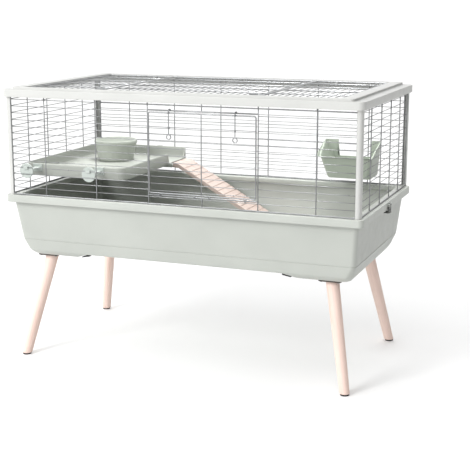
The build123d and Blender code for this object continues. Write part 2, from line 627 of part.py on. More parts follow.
# ---- ramp ----------------------------------------------------------------------------------------
slope = radians(RAMP_ANGLE)
ramp_reach = (RAMP_HEAD[1] - TUB_FLOOR) / tan(slope)
drop = RAMP_T / cos(slope)
with BuildPart() as ramp:
    with BuildSketch(Plane.XZ.offset(-RAMP_Y[1])):
        with BuildLine():
            Polyline(
                RAMP_HEAD,
                (RAMP_HEAD[0] + ramp_reach, TUB_FLOOR),
                (RAMP_HEAD[0] + ramp_reach, TUB_FLOOR - drop),
                (RAMP_HEAD[0], RAMP_HEAD[1] - drop),
                close=True,
            )
        make_face()
        with BuildLine():
            Polyline(
                (RAMP_PIN[0], RAMP_HEAD[1]),
                RAMP_HEAD,
                (RAMP_HEAD[0], RAMP_HEAD[1] - drop),
                (RAMP_PIN[0], RAMP_HEAD[1] - RAMP_T),
                close=True,
            )
        make_face()
        with Locations(RAMP_PIN):
            Circle(RAMP_T / 2)
    extrude(amount=RAMP_Y[1] - RAMP_Y[0])
    box((-400, 400), (0, 300), (200, TUB_FLOOR + 0.2), mode=Mode.SUBTRACT)
    groove = 26.0
    while groove < ramp_reach / cos(slope) - 20:
        groove_x = RAMP_HEAD[0] + groove * cos(slope)
        groove_z = RAMP_HEAD[1] - groove * sin(slope)
        with Locations((groove_x, (RAMP_Y[0] + RAMP_Y[1]) / 2, groove_z)):
            Cylinder(2.0, 130, rotation=(90, 0, 0), mode=Mode.SUBTRACT)
        groove += GROOVE_PITCH
    with Locations((RAMP_PIN[0], (RAMP_Y[0] + RAMP_Y[1]) / 2, RAMP_PIN[1])):
        Cylinder(RAMP_PIN_R + HOLE_PLAY, 140, rotation=(90, 0, 0), mode=Mode.SUBTRACT)
save(ramp, "ramp")

# ---- bowl ------------------------------------------------------------------------------------------
with BuildPart() as bowl:
    with BuildSketch(Plane.XZ.offset(-BOWL_AT[1])):
        with BuildLine():
            Polyline(
                (BOWL_AT[0], TRAY_FLOOR + 0.2),
                (BOWL_AT[0] + BOWL_BASE_R, TRAY_FLOOR + 0.2),
                (BOWL_AT[0] + BOWL_R, BOWL_TOP),
                (BOWL_AT[0] + BOWL_R - BOWL_T, BOWL_TOP),
                (BOWL_AT[0] + BOWL_BASE_R - BOWL_T - 2, TRAY_FLOOR + 10),
                (BOWL_AT[0] + BOWL_BASE_R - BOWL_T - 8, TRAY_FLOOR + BOWL_T),
                (BOWL_AT[0], TRAY_FLOOR + BOWL_T),
                close=True,
            )
        make_face()
    revolve(axis=Axis((BOWL_AT[0], BOWL_AT[1], 0), (0, 0, 1)))
    fillet(bowl.edges().filter_by_position(Axis.Z, BOWL_TOP - 0.1, BOWL_TOP + 0.1), 1.4)
save(bowl, "bowl")

# ---- hay rack ------------------------------------------------------------------------------------------


def rack_level(height, foot, inset):
    """Plan outline of the hay rack at its foot or its mouth."""
    xs = RACK_FOOT_X if foot else RACK_X
    front = RACK_FOOT_FRONT if foot else RACK_FRONT
    with BuildSketch(Plane.XY.offset(height)) as shape:
        with Locations(((xs[0] + xs[1]) / 2, (front + RACK_BACK) / 2)):
            RectangleRounded(xs[1] - xs[0] - 2 * inset, RACK_BACK - front - 2 * inset, 14 - inset)
    return shape.sketch


with BuildPart() as rack_inside:
    loft([rack_level(RACK_LOW + RACK_T, True, RACK_T), rack_level(RACK_TOP, False, RACK_T)], ruled=True)
    extrude(rack_level(RACK_TOP, False, RACK_T), amount=5)

with BuildPart() as hay_rack:
    loft([rack_level(RACK_LOW, True, 0), rack_level(RACK_TOP, False, 0)], ruled=True)
    add(rack_inside.part, mode=Mode.SUBTRACT)
    with BuildSketch(Plane.YZ.offset(RACK_X[0] - 5)):
        with BuildLine():
            Polyline(
                (RACK_FRONT - 5, RACK_TOP + 5),
                (RACK_BACK - 10, RACK_TOP + 5),
                (RACK_BACK - 10, RACK_TOP - 1),
                (RACK_FRONT + 8, RACK_LIP),
                (RACK_FRONT - 5, RACK_LIP),
                close=True,
            )
        make_face()
    extrude(amount=RACK_X[1] - RACK_X[0] + 10, mode=Mode.SUBTRACT)
    box(RACK_GAP_X, (RACK_BACK - 5, RACK_BACK + 1), (RACK_GAP_LOW, RACK_TOP + 5), mode=Mode.SUBTRACT)
    for x in RACK_HOOKS:
        wire_hook(x, RACK_BACK - 1, thin_back, ROWS[5])
save(hay_rack, "hay_rack")
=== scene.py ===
from math import cos, pi, radians, sin, sqrt, tan

import bmesh
import bpy
from mathutils import Matrix, Vector


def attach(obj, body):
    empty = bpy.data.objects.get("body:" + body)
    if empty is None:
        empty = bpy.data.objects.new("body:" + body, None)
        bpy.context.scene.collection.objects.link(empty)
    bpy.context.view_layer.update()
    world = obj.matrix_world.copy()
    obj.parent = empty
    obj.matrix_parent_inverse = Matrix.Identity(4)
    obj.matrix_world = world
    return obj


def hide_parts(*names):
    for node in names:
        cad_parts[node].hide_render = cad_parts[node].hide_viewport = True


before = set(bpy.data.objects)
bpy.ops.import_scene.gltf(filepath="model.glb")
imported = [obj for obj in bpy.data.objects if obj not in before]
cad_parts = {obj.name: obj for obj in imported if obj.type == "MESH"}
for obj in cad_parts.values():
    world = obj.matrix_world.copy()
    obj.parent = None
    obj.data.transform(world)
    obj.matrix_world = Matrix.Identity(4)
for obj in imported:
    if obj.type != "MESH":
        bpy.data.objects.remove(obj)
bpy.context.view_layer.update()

MM = 0.001
FRONT_POSTS = (-412, -247, -82, 82, 247, 412)
SIDE_POSTS = (-172, -57, 57, 172)
ROWS = [522 + 20 * i for i in range(14)]
CORNERS = (("front_left", -1, -1), ("front_right", 1, -1), ("back_left", -1, 1), ("back_right", 1, 1))
THICK_R, EDGE_R, THIN_R, SETBACK = 1.6, 2.0, 1.0, 2.3

# planes, heights and half lengths of the cage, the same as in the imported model
RIM_TOP, POST_TOP = 500.0, 808.5
FRONT_Y, FRONT_X = 280.0, 522.0
SIDE_X, SIDE_Y = 532.0, 269.0
ROOF_X, ROOF_Y, ROOF_Z = 470.0, 267.0, 815.0
ROOF_DOOR_X, ROOF_DOOR_Y, ROOF_DOOR_GAP = 240.0, 260.0, 246.0
FRONT_WIRE_Y = FRONT_Y - SETBACK


# ---- materials -------------------------------------------------------------------------------

def new_material(name):
    material = bpy.data.materials.new(name)
    material.use_nodes = True
    tree = material.node_tree
    shader = tree.nodes["Principled BSDF"]
    coords = tree.nodes.new("ShaderNodeTexCoord")
    return material, tree, shader, coords.outputs["Object"]


def noise(tree, vector, scale, detail=2.0, rough=0.5):
    node = tree.nodes.new("ShaderNodeTexNoise")
    node.inputs["Scale"].default_value = scale
    node.inputs["Detail"].default_value = detail
    node.inputs["Roughness"].default_value = rough
    tree.links.new(vector, node.inputs["Vector"])
    return node.outputs["Fac"]


def ramp(tree, value, stops):
    node = tree.nodes.new("ShaderNodeValToRGB")
    elements = node.color_ramp.elements
    while len(elements) < len(stops):
        elements.new(0.5)
    for element, (at, colour) in zip(elements, stops):
        element.position = at
        element.color = (*colour, 1.0)
    tree.links.new(value, node.inputs["Fac"])
    return node.outputs["Color"]


def span(tree, value, low, high, to_low, to_high):
    node = tree.nodes.new("ShaderNodeMapRange")
    for name, number in (("From Min", low), ("From Max", high), ("To Min", to_low), ("To Max", to_high)):
        node.inputs[name].default_value = number
    tree.links.new(value, node.inputs["Value"])
    return node.outputs["Result"]


def mix(tree, factor, first, second, blend="MIX"):
    node = tree.nodes.new("ShaderNodeMix")
    node.data_type = "RGBA"
    node.blend_type = blend
    for value, socket in ((factor, node.inputs[0]), (first, node.inputs[6]), (second, node.inputs[7])):
        if hasattr(value, "is_output"):
            tree.links.new(value, socket)
        else:
            socket.default_value = value if isinstance(value, float) else (*value, 1.0)
    return node.outputs[2]


def bump(tree, height, strength, distance, under=None):
    node = tree.nodes.new("ShaderNodeBump")
    node.inputs["Strength"].default_value = strength
    node.inputs["Distance"].default_value = distance
    tree.links.new(height, node.inputs["Height"])
    if under is not None:
        tree.links.new(under, node.inputs["Normal"])
    return node.outputs["Normal"]


def shade(colour, factor):
    return tuple(min(1.0, c * factor) for c in colour)


def plastic(name, colour, rough=0.42):
    """Moulded plastic: fine spark-eroded grain, faint flow mottling, edges rubbed paler."""
    material, tree, shader, at = new_material(name)
    flow = noise(tree, at, 7.0, 3.0)
    mottled = ramp(tree, flow, ((0.3, shade(colour, 0.955)), (0.5, colour), (0.72, shade(colour, 1.035))))
    geometry = tree.nodes.new("ShaderNodeNewGeometry")
    edge = span(tree, geometry.outputs["Pointiness"], 0.52, 0.60, 0.0, 0.5)
    scuff = span(tree, noise(tree, at, 60.0, 4.0, 0.65), 0.45, 0.7, 0.0, 1.0)
    rubbed = tree.nodes.new("ShaderNodeMath")
    rubbed.operation = "MULTIPLY"
    tree.links.new(edge, rubbed.inputs[0])
    tree.links.new(scuff, rubbed.inputs[1])
    tree.links.new(mix(tree, rubbed.outputs[0], mottled, shade(colour, 1.16)), shader.inputs["Base Color"])
    polish = noise(tree, at, 35.0, 4.0, 0.6)
    tree.links.new(span(tree, polish, 0.3, 0.7, rough - 0.06, rough + 0.08), shader.inputs["Roughness"])
    fine = bump(tree, noise(tree, at, 900.0, 2.0), 0.10, 0.0004)
    tree.links.new(bump(tree, noise(tree, at, 14.0, 1.0), 0.05, 0.002, fine), shader.inputs["Normal"])
    return material


def zinc_wire(name, colour):
    """Bright zinc wire: drawn streaks, dull patches, faint pits."""
    material, tree, shader, at = new_material(name)
    patch = noise(tree, at, 30.0, 3.0, 0.6)
    zinc = ramp(tree, patch, ((0.3, shade(colour, 0.82)), (0.55, colour), (0.75, shade(colour, 1.18))))
    tree.links.new(zinc, shader.inputs["Base Color"])
    shader.inputs["Metallic"].default_value = 0.85
    tree.links.new(span(tree, noise(tree, at, 120.0, 3.0), 0.3, 0.7, 0.26, 0.46), shader.inputs["Roughness"])
    tree.links.new(bump(tree, noise(tree, at, 700.0, 2.0), 0.12, 0.0002), shader.inputs["Normal"])
    return material


def stretched(tree, vector, across, lengthwise, along, turn):
    """Texture space turned with the piece and drawn out along its grain."""
    node = tree.nodes.new("ShaderNodeMapping")
    node.vector_type = "TEXTURE"
    node.inputs["Rotation"].default_value = turn
    for axis in range(3):
        node.inputs["Scale"].default_value[axis] = 1.0 / (lengthwise if axis == along else across)
    tree.links.new(vector, node.inputs["Vector"])
    return node.outputs["Vector"]


def wood(name, light, dark, along, turn=(0.0, 0.0, 0.0)):
    """Pale planed wood, grain along one axis of the turned texture space."""
    material, tree, shader, at = new_material(name)
    grain = noise(tree, stretched(tree, at, 34.0, 2.2, along, turn), 1.6, 6.0, 0.62)
    tones = ((0.30, dark), (0.47, shade(light, 0.95)), (0.62, light), (0.80, shade(light, 1.06)))
    figure = ramp(tree, grain, tones)
    pore = noise(tree, stretched(tree, at, 420.0, 16.0, along, turn), 1.0, 2.0)
    specks = span(tree, pore, 0.60, 0.72, 0.0, 0.35)
    blotch = ramp(tree, noise(tree, at, 5.0, 2.0), ((0.3, (0.93, 0.93, 0.93)), (0.7, (1.0, 1.0, 1.0))))
    toned = mix(tree, 1.0, mix(tree, specks, figure, shade(dark, 0.8)), blotch, "MULTIPLY")
    tree.links.new(toned, shader.inputs["Base Color"])
    tree.links.new(span(tree, grain, 0.3, 0.7, 0.52, 0.40), shader.inputs["Roughness"])
    tree.links.new(bump(tree, pore, 0.18, 0.0004), shader.inputs["Normal"])
    return material


def painted_steel(name, colour, rough=0.4):
    """Dark paint or rubber with a slightly uneven tone."""
    material, tree, shader, at = new_material(name)
    tone = ramp(tree, noise(tree, at, 60.0, 4.0), ((0.3, shade(colour, 0.8)), (0.7, shade(colour, 1.25))))
    tree.links.new(tone, shader.inputs["Base Color"])
    polish = noise(tree, at, 90.0, 3.0)
    tree.links.new(span(tree, polish, 0.3, 0.7, rough - 0.08, rough + 0.12), shader.inputs["Roughness"])
    shader.inputs["Metallic"].default_value = 0.3
    tree.links.new(bump(tree, noise(tree, at, 500.0, 2.0), 0.15, 0.0003), shader.inputs["Normal"])
    return material


TUB = plastic("tub_plastic", (0.395, 0.412, 0.382))
RIM_PLASTIC = plastic("rim_plastic", (0.405, 0.422, 0.392))
FRAME_PLASTIC = plastic("frame_plastic", (0.480, 0.484, 0.468))
TRAY_PLASTIC = plastic("platform_plastic", (0.33, 0.345, 0.315))
HEAD_PLASTIC = plastic("clip_head_plastic", (0.385, 0.42, 0.395))
RACK = plastic("hay_rack_plastic", (0.345, 0.385, 0.325), rough=0.36)
BOWL_MAT = plastic("bowl_plastic", (0.405, 0.43, 0.385))
# near-black side clip colour: painted shade for the shadow gaps round the sage clips
CLIP_PAINTED_SHADE = plastic("clip_plastic", (0.075, 0.08, 0.072))
WIRE = zinc_wire("zinc_wire", (0.27, 0.275, 0.28))
SCREW = zinc_wire("screw_steel", (0.30, 0.30, 0.30))
RAMP_WOOD = wood("ramp_wood", (0.455, 0.37, 0.33), (0.36, 0.275, 0.24), 0)
BRACKET = painted_steel("bracket_paint", (0.045, 0.035, 0.027))
GLIDE = painted_steel("glide_rubber", (0.02, 0.02, 0.02), 0.7)


# ---- mesh helpers: every length below is in millimetres --------------------------------------

def piece(name, verts, faces, material, body, node=None, smooth=35, matrix=None):
    """Makes one visible piece and says what it rides on and which CAD node it stands for."""
    mesh = bpy.data.meshes.new(name)
    points = [Vector(v) * MM for v in verts]
    if matrix is not None:
        inverse = matrix.inverted()
        points = [inverse @ p for p in points]
    mesh.from_pydata([tuple(p) for p in points], [], faces)
    mesh.validate()
    sheet = bmesh.new()
    sheet.from_mesh(mesh)
    bmesh.ops.recalc_face_normals(sheet, faces=sheet.faces)
    sheet.to_mesh(mesh)
    sheet.free()
    obj = bpy.data.objects.new(name, mesh)
    bpy.context.scene.collection.objects.link(obj)
    if matrix is not None:
        obj.matrix_world = matrix
    mesh.materials.append(material)
    for polygon in mesh.polygons:
        polygon.use_smooth = True
    mesh.set_sharp_from_angle(angle=radians(smooth))
    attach(obj, body)
    if node:
        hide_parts(node)
    return obj


class Shape:
    """Vertices and faces collected from several primitives."""

    def __init__(self):
        self.verts = []
        self.faces = []

    def add(self, verts, faces):
        base = len(self.verts)
        self.verts += [tuple(v) for v in verts]
        self.faces += [tuple(base + i for i in face) for face in faces]

    def rings(self, rings, closed=False, cap_first=False, cap_last=False):
        """Skin through rings with equal point counts."""
        count = len(rings[0])
        verts = [p for ring in rings for p in ring]
        faces = []
        last = len(rings) if closed else len(rings) - 1
        for k in range(last):
            a, b = k * count, ((k + 1) % len(rings)) * count
            for i in range(count):
                j = (i + 1) % count
                faces.append((a + i, a + j, b + j, b + i))
        if cap_first:
            faces.append(tuple(reversed(range(count))))
        if cap_last:
            faces.append(tuple((len(rings) - 1) * count + i for i in range(count)))
        self.add(verts, faces)

    def tube(self, path, radius, sides=10, closed=False):
        """Round wire along a path, with slightly domed ends."""
        points = [Vector(p) for p in path]
        count = len(points)
        rings = []
        normal = None
        for i, point in enumerate(points):
            before = points[(i - 1) % count] if closed or i > 0 else point
            after = points[(i + 1) % count] if closed or i < count - 1 else point
            along = (after - before).normalized()
            if normal is None:
                normal = along.orthogonal().normalized()
            normal = (normal - along * normal.dot(along)).normalized()
            side = along.cross(normal)
            ring = []
            for k in range(sides):
                angle = 2 * pi * k / sides
                ring.append(point + (normal * cos(angle) + side * sin(angle)) * radius)
            if not closed and i == 0:
                rings.append([point + (p - point) * 0.72 for p in ring])
                rings.append([p + along * radius * 0.3 for p in ring])
                continue
            if not closed and i == count - 1:
                rings.append([p - along * radius * 0.3 for p in ring])
                rings.append([point + (p - point) * 0.72 for p in ring])
                continue
            rings.append(ring)
        self.rings(rings, closed=closed, cap_first=not closed, cap_last=not closed)

    def block(self, x, y, z, bevel=0.6):
        """Box with chamfered edges."""
        x, y, z = sorted(x), sorted(y), sorted(z)
        b = min(bevel, (x[1] - x[0]) / 3, (y[1] - y[0]) / 3, (z[1] - z[0]) / 3)

        def level(height, inset):
            x0, x1, y0, y1 = x[0] + inset, x[1] - inset, y[0] + inset, y[1] - inset
            return [
                (x0 + b, y0, height), (x1 - b, y0, height), (x1, y0 + b, height), (x1, y1 - b, height),
                (x1 - b, y1, height), (x0 + b, y1, height), (x0, y1 - b, height), (x0, y0 + b, height),
            ]
        levels = [level(z[0], b), level(z[0] + b, 0), level(z[1] - b, 0), level(z[1], b)]
        self.rings(levels, cap_first=True, cap_last=True)


def rounded(half_x, half_y, radius, z, corner=8, sides=(1, 1), centre=(0.0, 0.0)):
    """Rounded rectangle at one height, as points in order, with the same count for any radius."""
    radius = max(0.5, min(radius, half_x - 0.5, half_y - 0.5))
    points = []
    spec = (
        (half_x - radius, -half_y + radius, -90, (0, 1), sides[1]),
        (half_x - radius, half_y - radius, 0, (-1, 0), sides[0]),
        (-half_x + radius, half_y - radius, 90, (0, -1), sides[1]),
        (-half_x + radius, -half_y + radius, 180, (1, 0), sides[0]),
    )
    for x, y, start, step, count in spec:
        for k in range(corner + 1):
            angle = radians(start + 90 * k / corner)
            points.append((x + radius * cos(angle), y + radius * sin(angle)))
        run = 2 * (half_y - radius) if step[1] else 2 * (half_x - radius)
        last = points[-1]
        for k in range(1, count):
            points.append((last[0] + step[0] * run * k / count, last[1] + step[1] * run * k / count))
    return [(centre[0] + x, centre[1] + y, z) for x, y in points]


def swept(profile, half_x, half_y, radius_at, inset_y=lambda d: d, corner=8, sides=(24, 12)):
    """Ring around a rounded rectangle; the profile gives (distance in from the ends, height)."""
    return [rounded(half_x - d, half_y - inset_y(d), radius_at(d), z, corner, sides) for d, z in profile]


def soften(points, size, steps=3, closed=True):
    """Rounds the corners of a 2-D outline."""
    out = []
    count = len(points)
    for i, p in enumerate(points):
        if not closed and i in (0, count - 1):
            out.append(p)
            continue
        a, c = points[i - 1], points[(i + 1) % count]
        la = sqrt((a[0] - p[0]) ** 2 + (a[1] - p[1]) ** 2)
        lc = sqrt((c[0] - p[0]) ** 2 + (c[1] - p[1]) ** 2)
        s = min(size, la * 0.45, lc * 0.45)
        p0 = (p[0] + (a[0] - p[0]) * s / la, p[1] + (a[1] - p[1]) * s / la)
        p1 = (p[0] + (c[0] - p[0]) * s / lc, p[1] + (c[1] - p[1]) * s / lc)
        for k in range(steps + 1):
            t = k / steps
            out.append(tuple(
                (1 - t) ** 2 * p0[j] + 2 * t * (1 - t) * p[j] + t * t * p1[j] for j in (0, 1)
            ))
    return out


def smoothstep(low, high, value):
    t = max(0.0, min(1.0, (value - low) / (high - low)))
    return t * t * (3 - 2 * t)


# ---- tub -------------------------------------------------------------------------------------
TUB_X, TUB_Y = 528.5, 275.5
TUB_FLOOR = 311.0
TUB_WALL = 3.0
ARCH_FLAT, ARCH_END, ARCH_RISE = 300.0, 350.0, 13.0
TUB_SIDES = (96, 28)
TUB_PROFILE = (          # height, half length, half width, plan corner radius
    (496.0, 528.5, 275.5, 13.0), (480.0, 528.5, 275.5, 13.0), (462.0, 527.0, 272.4, 13.1),
    (434.0, 524.4, 267.0, 13.4), (400.0, 521.3, 260.5, 13.7), (364.5, 518.05, 253.65, 14.0),
    (358.4, 517.4, 252.5, 14.1), (357.0, 516.9, 252.2, 14.4), (352.0, 514.9, 251.2, 15.2),
    (340.0, 510.1, 248.8, 17.4), (329.0, 505.7, 246.6, 19.4), (326.0, 504.2, 245.5, 20.0),
    (323.0, 502.6, 243.3, 20.8), (319.0, 500.2, 239.4, 22.5), (315.0, 497.8, 235.4, 24.4),
    (312.6, 495.8, 232.4, 25.4), (311.4, 493.8, 230.2, 25.8), (311.0, 491.6, 228.0, 26.0),
)
WALL_STEPS = 6           # profile rows above the crease
CATCH_OUT_X, CATCH_HALF, CATCH_Z = (526.8, 540.5), 18, (472, 475.5)
TUB_CREASE = (           # shallow groove round the outside, just above the bend
    (361.9, 517.8, 253.2, 14.0), (361.3, 517.3, 252.7, 14.0), (361.0, 516.5, 251.8, 14.0),
    (359.2, 516.4, 251.6, 14.0), (358.8, 517.1, 252.4, 14.0),
)


def arch_height(x, base, spread):
    """Height of the tub floor at x: low pads over the legs, raised between them."""
    return base + ARCH_RISE * (1.0 - smoothstep(ARCH_FLAT + spread, ARCH_END + spread, abs(x)))


def tub_skin(inset, profile):
    """Rings down one side of the wall and in over the floor to its middle."""
    base = TUB_FLOOR + inset
    rings = []
    for z, half_x, half_y, radius in profile:
        rings.append(rounded(half_x - inset, half_y - inset, radius - inset, max(z, base), 10, TUB_SIDES))
    last = rings[-1]
    for shrink in (0.9, 0.7, 0.45, 0.2, 0.03):
        rings.append([(x * shrink, y * shrink, base) for x, y, _ in last])
    return [[(x, y, max(z, arch_height(x, base, inset))) for x, y, z in ring] for ring in rings]


tub = Shape()
outer_rings = tub_skin(0.0, TUB_PROFILE[:WALL_STEPS] + TUB_CREASE + TUB_PROFILE[WALL_STEPS:])
inner_rings = tub_skin(TUB_WALL, TUB_PROFILE)
edge = [[(x, y, 495.4) for x, y, _ in outer_rings[0]]]
edge.append(rounded(TUB_X - 0.7, TUB_Y - 0.7, 12.4, 496.0, 10, TUB_SIDES))
edge.append(rounded(TUB_X - 2.3, TUB_Y - 2.3, 10.8, 496.0, 10, TUB_SIDES))
inner_rings[0] = [(x, y, 495.4) for x, y, _ in inner_rings[0]]
tub.rings(list(reversed(inner_rings)) + list(reversed(edge)) + outer_rings[1:], cap_first=True, cap_last=True)
for sx in (-1, 1):
    tub.block([sx * x for x in CATCH_OUT_X], (-CATCH_HALF, CATCH_HALF), CATCH_Z, 0.8)
piece("tub_shell", tub.verts, tub.faces, TUB, "stand", "tub", smooth=24)

# ---- legs ------------------------------------------------------------------------------------
LEG_TOP, LEG_FOOT = Vector((443, 194.5, 307)), Vector((505, 266, 0))
LEG_SHIFT = -5.0
LEG_FOOT_R, LEG_TOP_R = 14.5, 19.0
LEG_SIDES = 40
LEG_LIGHT, LEG_DARK = (0.81, 0.625, 0.55), (0.68, 0.49, 0.415)
for corner, sx, sy in CORNERS:
    top = Vector((sx * LEG_TOP.x + LEG_SHIFT, sy * LEG_TOP.y, LEG_TOP.z))
    foot = Vector((sx * LEG_FOOT.x + LEG_SHIFT, sy * LEG_FOOT.y, 0))
    axis = (top - foot).normalized()
    lean = Vector((axis.x, axis.y, 0)).normalized()
    across = Vector((-lean.y, lean.x, 0))
    stretch = 1.0 / axis.z
    rings = []
    levels = [(4.0, -2.2), (4.5, -1.2), (5.6, -0.4), (7.4, 0.0)] + [(z, 0.0) for z in range(30, 290, 20)]
    levels += [(303.5, 0.0), (306.0, -0.5), (307.0, -1.4)]
    for z, inset in levels:
        share = z / LEG_TOP.z
        radius = LEG_FOOT_R + (LEG_TOP_R - LEG_FOOT_R) * share + inset
        centre = foot + (top - foot) * share
        ring = []
        for k in range(LEG_SIDES):
            angle = 2 * pi * k / LEG_SIDES
            ring.append(centre + lean * (radius * stretch * cos(angle)) + across * (radius * sin(angle)))
        rings.append([(p.x, p.y, z) for p in ring])
    leg = Shape()
    leg.rings(rings, cap_first=True, cap_last=True)
    turn = axis.to_track_quat("Z", "Y").to_euler()
    leg_wood = wood(f"leg_wood_{corner}", LEG_LIGHT, LEG_DARK, 2, turn)
    piece(f"wood_leg_{corner}", leg.verts, leg.faces, leg_wood, "stand", f"leg_{corner}")

# ---- lower frame -----------------------------------------------------------------------------
RIM_X, RIM_Y = 546.0, 292.0
rim_profile = soften([
    (0.0, 478.0), (0.0, 500.0), (34.0, 500.0), (34.0, 486.0), (31.0, 486.0), (31.0, 496.0),
    (3.0, 496.0), (3.0, 478.0),
], 2.4, 4)
rim = Shape()
rim.rings(swept(rim_profile, RIM_X, RIM_Y, lambda d: max(12.0, 16.0 - d)), closed=True)
for sx in (-1, 1):
    for y in (-11, 11):
        rim.block((sx * 545.5, sx * 553.0), (y - 2, y + 2), (487, 495), 1.0)
piece("rim_band", rim.verts, rim.faces, RIM_PLASTIC, "cage", "lower_frame")

# ---- side clips ------------------------------------------------------------------------------
def flat_plate(outline, hole, half_thick, edge):
    """Plate with a hole and rolled edges, as points (outline x, outline y, thickness) and faces."""
    curve = bpy.data.curves.new("plate_outline", "CURVE")
    curve.dimensions = "2D"
    curve.fill_mode = "BOTH"
    curve.extrude = half_thick - edge
    curve.bevel_depth = edge
    curve.offset = -edge
    curve.bevel_resolution = 2
    for loop in (outline, hole):
        spline = curve.splines.new("POLY")
        spline.points.add(len(loop) - 1)
        for point, (a, b) in zip(spline.points, loop):
            point.co = (a, b, 0, 1)
        spline.use_cyclic_u = True
    holder = bpy.data.objects.new("plate_outline", curve)
    bpy.context.scene.collection.objects.link(holder)
    flat = bpy.data.meshes.new_from_object(holder.evaluated_get(bpy.context.evaluated_depsgraph_get()))
    points = [tuple(v.co) for v in flat.vertices]
    faces = [tuple(p.vertices) for p in flat.polygons]
    bpy.data.objects.remove(holder)
    bpy.data.meshes.remove(flat)
    return points, faces


CLIP_X = 550.0
clip_outline = soften([
    (-15, 485.5), (-15, 468), (15, 468), (15, 485.5), (8.5, 485.5), (8.5, 490), (-8.5, 490), (-8.5, 485.5),
], 2.5, 3)
clip_hole = soften([(-6, 480), (-6, 474), (6, 474), (6, 480)], 2.4, 8)
plate_points, plate_faces = flat_plate(clip_outline, clip_hole, 1.5, 0.5)
for name, sx in (("left", -1), ("right", 1)):
    clip = Shape()
    clip.add([(sx * (549.2 + thick), y, z) for y, z, thick in plate_points], plate_faces)
    clip.tube([(sx * CLIP_X, -8.4, 491), (sx * CLIP_X, 8.4, 491)], 3.35, 20)
    clip.block((sx * 534.0, sx * (CLIP_X - 1.5)), (-13, 13), (468, 471.3), 0.5)
    clip.block((sx * CLIP_X, sx * (CLIP_X + 3.2)), (-9, 9), (468, 470.5), 0.7)
    body = f"side_clip_{name}"
    # the clip's near-black colour is painted shade for the shadows round it
    piece(f"clip_{name}", clip.verts, clip.faces, CLIP_PAINTED_SHADE, body, body)

# ---- corner posts ----------------------------------------------------------------------------
BEND_X, BEND_Y = 527, 275          # centre of the post's rounded corner
BEND_OUT, BEND_IN, BEND_STEPS = 10, 7, 8
for corner, sx, sy in CORNERS:
    points = []
    for k in range(BEND_STEPS + 1):
        a = radians(90 * k / BEND_STEPS)
        points.append((BEND_X + BEND_OUT * sin(a), BEND_Y + BEND_OUT * cos(a)))
    points += [(537, 270.3), (536.2, 269.5), (534.8, 269.5), (534, 270.3)]
    for k in range(BEND_STEPS + 1):
        a = radians(90 - 90 * k / BEND_STEPS)
        points.append((BEND_X + BEND_IN * sin(a), BEND_Y + BEND_IN * cos(a)))
    points += [(522.3, 282), (521.5, 282.8), (521.5, 284.2), (522.3, 285)]
    post = Shape()
    heights = (RIM_TOP, 560.0, 660.0, 760.0, POST_TOP)
    post.rings([[(sx * x, sy * y, z) for x, y in points] for z in heights], cap_first=True, cap_last=True)
    node = f"corner_post_{corner}"
    piece(f"post_{corner}", post.verts, post.faces, FRAME_PLASTIC, "cage", node)

# ---- top frame -------------------------------------------------------------------------------
TOP_X, TOP_Y = 544.5, 296.0
# the ridge is wide at the ends and narrow at the front and back
TOP_INSETS = (
    (0.0, 0.0), (3.0, 3.0), (26.0, 5.0), (30.0, 8.0), (33.0, 11.0), (64.0, 18.5), (67.0, 21.5), (79.0, 33.5),
)
ROOF_CLEATS_X, ROOF_CLEATS_Y, CLEAT_Z = (-450, -310, -110, 110, 310, 450), (-120, 0, 120), (808.5, 813)
top_profile = soften([
    (0.0, 790.0), (0.0, 812.0), (30.0, 812.0), (30.0, 819.0), (67.0, 819.0), (67.0, 809.0), (79.0, 809.0),
    (79.0, 806.0), (64.0, 806.0), (64.0, 816.0), (33.0, 816.0), (33.0, 808.5), (3.0, 808.5), (3.0, 790.0),
], 2.4, 4)


def top_inset_y(distance):
    """Distance in from the front that goes with a distance in from the end."""
    for (x0, y0), (x1, y1) in zip(TOP_INSETS[:-1], TOP_INSETS[1:]):
        if distance <= x1:
            return y0 + (y1 - y0) * (distance - x0) / (x1 - x0)
    return TOP_INSETS[-1][1]


top = Shape()
top.rings(swept(top_profile, TOP_X, TOP_Y, lambda d: max(6.0, 18.0 - 0.2 * d), top_inset_y), closed=True)
for sy in (-1, 1):
    for x in ROOF_CLEATS_X:
        top.block((x - 4, x + 4), (sy * 263, sy * 275.5), CLEAT_Z, 0.5)
for sx in (-1, 1):
    for y in ROOF_CLEATS_Y:
        top.block((sx * 466, sx * 478.5), (y - 4, y + 4), CLEAT_Z, 0.5)
top_rail = piece("top_rail", top.verts, top.faces, FRAME_PLASTIC, "cage", "top_frame")

# ---- wire panels -----------------------------------------------------------------------------
LOW, HIGH = 502.0, 806.5
DOORWAY_X, DOORWAY_Z = (-82, 247), (528, 768)
DOOR_POST = 82           # upright that stops above and below the doorway


def frame_loop(shape, a0, a1, b0, b1, to_point, radius, corner=5.0):
    """Closed wire rectangle with bent corners."""
    path = []
    for a, b, start in ((a1, b0, -90), (a1, b1, 0), (a0, b1, 90), (a0, b0, 180)):
        ca = a - corner if a == a1 else a + corner
        cb = b - corner if b == b1 else b + corner
        for k in range(6):
            angle = radians(start + 90 * k / 5)
            path.append(to_point(ca + corner * cos(angle), cb + corner * sin(angle)))
    shape.tube(path, radius, 12, closed=True)


